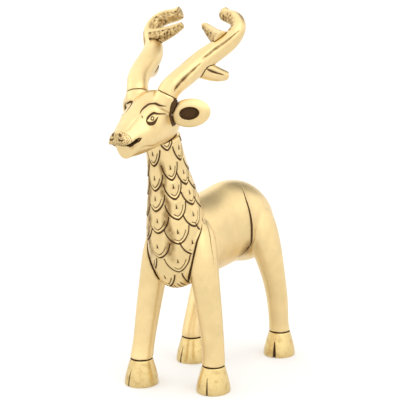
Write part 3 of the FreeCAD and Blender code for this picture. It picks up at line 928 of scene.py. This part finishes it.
def make_head():
    head = recast(casting_copy("head_casting"), HEAD_GRAIN, passes=5, finer=1)
    # The lower jaw is narrow and droops; its cut edges are rubbed round. The eyeballs stand out a little.
    co = points_of(head) / MM
    ahead = MOUTH_REAR[1] - co[:, 1]
    lip = MOUTH_REAR[2] - ahead * math.tan(math.radians(MOUTH_SLOPE))
    jaw = smoothstep(0.2, 1.0, lip - co[:, 2])
    co[:, 0] *= 1 - 0.12 * smoothstep(2.0, 9.0, ahead)
    drop = jaw * smoothstep(0.0, 6.0, ahead)
    co[:, 0] *= 1 - 0.28 * drop
    co[:, 1] += drop * ahead * 0.36
    co[:, 2] -= drop * 0.9 + 1.8 * smoothstep(1.0, 9.0, ahead)
    set_points(head, co * MM)
    soften(head, jaw * smoothstep(1.0, 4.0, ahead), 60)
    for side, _ in SIDES:
        swell(head, (side * 11.2, -61.9, 177.5), 3.0, 0.25)
        swell(head, (side * 2.7, -82, 169.4), 1.5, -1.0)
    fine, medium, bold, deep, soft = (Lines(head) for _ in range(5))
    for side, _ in SIDES:
        def draw(tool, points, width, taper=(0.3, 0.3), count=40, closed=False):
            tool.stroke(mirrored(points, side), width, taper, count, closed)

        # Brow, lids with a long outer lash, and the eye's ring.
        draw(medium, [(5.2, -66.2, 180.1), (4.9, -64, 182), (5.3, -61.3, 183.8), (6.3, -58.5, 185.3),
                      (8.7, -56.2, 185.5), (11.8, -55.7, 184.5), (14.8, -53.3, 183.9)], 0.92, (0.3, 0.2), 60)
        draw(medium, [(9.4, -65.5, 176.4), (9.5, -63.2, 178.6), (10.4, -59.7, 180.3), (12.0, -57.5, 179.9),
                      (13.9, -51.6, 179.3)], 0.95, (0.15, 0.35), 50)
        draw(bold, [(9.4, -65.5, 176.4), (10.3, -65.1, 175.2), (11.5, -63.8, 174.6), (12.4, -61.4, 175.3),
                    (12.8, -58.2, 178.2)], 1.40, (0.35, 0.3), 40)
        ring = [(11.1 + 0.25 * math.sin(t), -62.0 + 1.15 * math.cos(t), 177.6 + 1.2 * math.sin(t))
                for t in np.linspace(0, math.tau, 9)[:-1]]
        draw(fine, ring, 0.46, closed=True)
        draw(fine, [(6.2, -65.8, 179.4), (7.7, -66.5, 177.6)], 0.4, count=12)
        # Groove behind the cheek, widest where it runs up beside the antler's seat.
        draw(deep, [(18.2, -46.4, 188.4), (17.9, -47.8, 186.4), (17.2, -49.4, 184.2), (16.2, -49.4, 181.0),
                    (15.0, -48.0, 177.2), (14.6, -47.0, 173.8), (13.7, -45.2, 171.4)], 1.8, (0.05, 0.7), 60)
        # Jaw, chin and the flats beside the bridge of the nose.
        draw(soft, [(8.2, -70.9, 160.2), (9.7, -66.2, 161.4), (9.6, -54.6, 161.3), (11.8, -48.1, 165.2)], 1.6, count=50)
        draw(soft, [(5.2, -66.6, 180.1), (4.9, -70.5, 176.8), (4.4, -76.0, 172.9), (4.0, -79.0, 171.0)], 1.5, count=50)
        # Nostril and the curl under it.
        draw(fine, [(1.3, -82, 167.4), (2.6, -82, 166.4), (4.2, -82, 166.3), (6.0, -81.4, 167.2)], 0.6, (0.3, 0.3), 24)
        draw(fine, [(0.0, -80.5, 171.0), (3.9, -79.4, 170.8), (7.1, -77.5, 168.3), (8.1, -77.6, 164.3),
                    (6.2, -78.3, 161.8)], 0.22, (0.2, 0.2), 40)
        draw(medium, [(5.0, -77.4, 161.4), (7.3, -72.9, 164.3), (9.0, -70.9, 166.4), (9.9, -70.3, 167.3)], 0.7,
             (0.1, 0.4), 30)
    chase(head, soft, depth=0.35, full_width=1.6, reach=1.2, patina=0.0, tarnish=0.10)
    chase(head, deep, depth=1.1, full_width=1.45, reach=1.3, tarnish=0.5)
    chase(head, bold, depth=0.6, full_width=0.95)
    chase(head, medium, depth=0.5)
    run_tree(head, PUNCHES, {"Pad Centre": (0.0, -80 * MM, 165.6 * MM), "Pad Reach": (7.6 * MM, 5.0 * MM, 5.2 * MM),
                             "Finish": FINISHES["chased_brass"]})
    chase(head, fine, depth=0.35, full_width=0.4, tarnish=0.2)
    for side, _ in SIDES:
        stain(head, (side * 2.7, -82, 169.4), 1.15)
        for y, z, radius in ((-46.6, 187.4, 2.8), (-47.6, 185.2, 2.6), (-48.4, 183.0, 2.0), (-48.2, 180.6, 1.4)):
            stain(head, (side * (17.6 - (187.4 - z) * 0.32), y, z), radius)
        stain_seam(head, WORK[("left_" if side == LEFT else "right_") + "ear"][0], 2.0)
    # Painted shade inside the open mouth.
    paint_hollow_shade(head, (-12, -83, 156), (12, -69.5, 168), 5.5)
    pad = np.linalg.norm((points_of(head) / MM - (0.0, -80.0, 165.6)) / (7.6, 5.0, 5.2), axis=1)
    raise_mark(head, "tarnish", 0.5 * (1 - smoothstep(0.85, 1.05, pad)))
    WORK["head_casting"] = (head, "chased_brass")


def make_ear(side, side_name):
    """A thick oval leaf with a smooth dark bowl sunk in its face."""
    node = side_name + "_ear"
    ear = recast(casting_copy(node), EAR_GRAIN, passes=6)
    low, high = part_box(node)
    middle = (low + high) / 2
    axis = Vector((side * 0.83, 0.55, 0.10)).normalized()
    face = Vector((side * 0.55, -0.83, 0.0)).normalized()
    across = axis.cross(face)
    frame_of_ear = np.array((axis, across, face))
    facing = normals_of(ear) @ np.array(face)
    local = (points_of(ear) - np.array(middle)) @ frame_of_ear.T / MM
    along, wide, out = local.T
    # A plain dome first, then the bowl.
    dome = 3.4 * np.sqrt(np.clip(1 - (along / 12.1) ** 2 - (wide / 8.7) ** 2, 0, 1))
    front = facing > -0.3
    out = np.where(front & (out > -2.5), np.maximum(out, dome - 0.3), out)
    oval = np.hypot((along + 1.0) / 5.8, wide / 3.7)
    bowl = (1 - smoothstep(0.74, 1.10, oval)) * front
    out = out * (1 - bowl) + np.minimum(out, -0.6) * bowl
    local = np.stack([along, wide, out], axis=1)
    set_points(ear, (local @ frame_of_ear) * MM + np.array(middle))
    set_mark(ear, "patina", np.where(front, np.clip(0.65 + (1 - oval) * 1.4, 0, 1), 0))
    set_mark(ear, "tarnish", np.where(front, np.clip(1.5 - oval, 0, 1) * 0.25, 0))
    WORK[node] = (ear, "satin_brass")


# ---------------------------------------------------------------- hooves, tail and antlers

HOOF_FRONTS = {"left_fore_hoof": 0.72, "right_fore_hoof": 0.72, "left_hind_hoof": 1.5, "right_hind_hoof": 0.72}


def make_hoof(node):
    """A flared hoof with a cleft filed up its front."""
    hoof = recast(casting_copy(node), HOOF_GRAIN, passes=5, finer=1)
    low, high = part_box(node)
    x, y = (low.x + high.x) / 2 / MM, (low.y + high.y) / 2 / MM
    side = LEFT if x > 0 else RIGHT
    cleft = Lines(hoof)
    lean = side * 2.2
    cleft.stroke([(x + lean * 1.15, y - 12, -0.5), (x + lean, y - 11, 3.5), (x + lean * 0.8, y - 10, 7.5),
                  (x + lean * 0.6, y - 9, 11.0)], HOOF_FRONTS[node], (0.0, 0.75), 40)
    cleft.stroke([(x - lean, y + 12, -0.5), (x - lean, y + 11, 3.0), (x - lean * 0.8, y + 10, 6.0)], 0.5, (0.0, 0.8), 24)
    chase(hoof, cleft, depth=1.1, full_width=0.9, reach=2.0, tarnish=0.4)
    co = points_of(hoof)
    top = high.z
    raise_mark(hoof, "patina", 0.65 + (co[:, 2] - (top - 0.35 * MM)) / (1.6 * MM))
    WORK[node] = (hoof, "brushed_brass")


def make_tail():
    tail = recast(casting_copy("tail"), HOOF_GRAIN, passes=5, finer=1)
    hair = Lines(tail)
    for x in (-2.6, -0.9, 0.9, 2.6):
        hair.stroke([(x * 1.2, 74, 108), (x * 1.2, 79, 103), (x, 82, 97), (x * 0.6, 82, 91)], 0.5, (0.3, 0.4), 40)
    chase(tail, hair, depth=0.4)
    WORK["tail"] = (tail, "satin_brass")


def make_antler_set(side, side_name):
    beam = recast(casting_copy(side_name + "_antler"), ANTLER_GRAIN, passes=5, finer=0)
    inner, outer = (recast(casting_copy(side_name + "_" + part), ANTLER_GRAIN * 0.8, passes=4)
                    for part in ("inner_tine", "outer_tine"))
    flute, edge, tine_flute, notch = Lines(beam), Lines(beam), Lines(outer), Lines(inner)
    flute.stroke(mirrored([(15.6, -47.8, 192.6), (17.5, -46.9, 194.8), (20.6, -43.0, 199.4), (23.2, -36.0, 204.8), (24.2, -31.0, 208.0)], side),
                 1.9, (0.3, 0.5), 50)
    flute.stroke(mirrored([(23.5, -28.6, 210.7), (26.4, -19.5, 215.8), (31.3, -13, 221), (35.0, -6.5, 226.4)], side),
                 1.5, (0.4, 0.6), 50)
    edge.stroke(mirrored([(23.8, -28.6, 209.9), (26.6, -19.5, 215.2), (31.3, -13, 220.5), (35.0, -6.5, 226.0)], side),
                0.4, (0.2, 0.8), 50)
    chase(beam, flute, depth=0.85, full_width=1.7, reach=1.2, patina=0.70, tarnish=1.0)
    chase(beam, edge, depth=0.2, patina=0.9)
    tine_flute.stroke(mirrored([(23.6, -27.0, 204.8), (27.3, -20.9, 202.2), (30.8, -15.1, 200.4)], side), 1.6, (0.35, 0.5), 30)
    chase(outer, tine_flute, depth=0.8, full_width=1.6, reach=1.2, patina=0.85, tarnish=0.9)
    low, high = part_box(side_name + "_inner_tine")
    mid = (low + high) / 2 / MM
    notch.stroke([(mid.x + side, mid.y - 4, mid.z + 2.5), (mid.x + side, mid.y - 4, mid.z - 1.0)], 0.5, (0.3, 0.3), 16)
    chase(inner, notch, depth=0.3, patina=0.85)
    for piece, floor in ((beam, 222.0), (inner, 0.0), (outer, 0.0)):
        co, no = points_of(piece), normals_of(piece)
        inward = smoothstep(0.30, 0.75, no @ np.array((-side * 0.8, -0.6, 0.0)))
        roughen(piece, inward * smoothstep(floor, floor + 6, co[:, 2] / MM), 1.3, 0.45)
    stain_seam(inner, beam, 0.3)
    stain_seam(outer, beam, 0.4)
    stain_seam(beam, inner, 0.3)
    stain_seam(beam, outer, 0.4)
    for part, piece in (("antler", beam), ("inner_tine", inner), ("outer_tine", outer)):
        WORK[side_name + "_" + part] = (piece, "chased_brass")


def make_ear_pins():
    """The pins that hold the ears, cut back so that they end inside the ear under its bowl."""
    pins = casting_copy("ear_pins")
    co = points_of(pins) / MM
    for side, side_name in SIDES:
        axis = np.array((side * 0.83, 0.55, 0.10)) / np.linalg.norm((0.83, 0.55, 0.10))
        own = co[:, 0] * side > 0
        middle = (co[own].min(axis=0) + co[own].max(axis=0)) / 2
        reach = (co - middle) @ axis
        beyond = np.where(own & (reach > 2.6), reach - 2.6, 0)
        co -= beyond[:, None] * axis
    set_points(pins, co * MM)
    WORK["ear_pins"] = (pins, "plain_brass")


WORK = {}
make_trunk()
for side, side_name in SIDES:
    make_ear(side, side_name)
    make_antler_set(side, side_name)
make_head()
make_ear_pins()
for node in HOOF_FRONTS:
    make_hoof(node)
make_tail()

# Dark lines where two castings meet.
for side, side_name in SIDES:
    antler = WORK[side_name + "_antler"][0]
    stain_seam(WORK["head_casting"][0], antler, 0.45)
    stain_seam(antler, WORK["head_casting"][0], 0.45)
    stain_seam(WORK[side_name + "_ear"][0], WORK["head_casting"][0], 0.8)
    for end in ("fore", "hind"):
        stain_seam(WORK[side_name + "_" + end + "quarter"][0], WORK[side_name + "_" + end + "_hoof"][0], 0.3)
# The dark band on the neck under the head is a dark seam and also a painted shadow under the overhanging jaw.
stain_seam(WORK["neck_casting"][0], WORK["head_casting"][0], 0.8, 0.95)
stain_seam(WORK["tail"][0], WORK["left_hindquarter"][0], 0.4)
stain_seam(WORK["tail"][0], WORK["right_hindquarter"][0], 0.4)

for node, (piece, slot) in WORK.items():
    body = "figure"
    for _, side_name in SIDES:
        if node in (side_name + "_antler", side_name + "_inner_tine", side_name + "_outer_tine"):
            body = side_name + "_antler_set"
    finish_piece(piece, node, body, slot)
for node in ("left_antler_peg", "right_antler_peg", "hoof_pins"):
    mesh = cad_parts[node].data
    mesh.materials.clear()
    mesh.materials.append(FINISHES["plain_brass"])
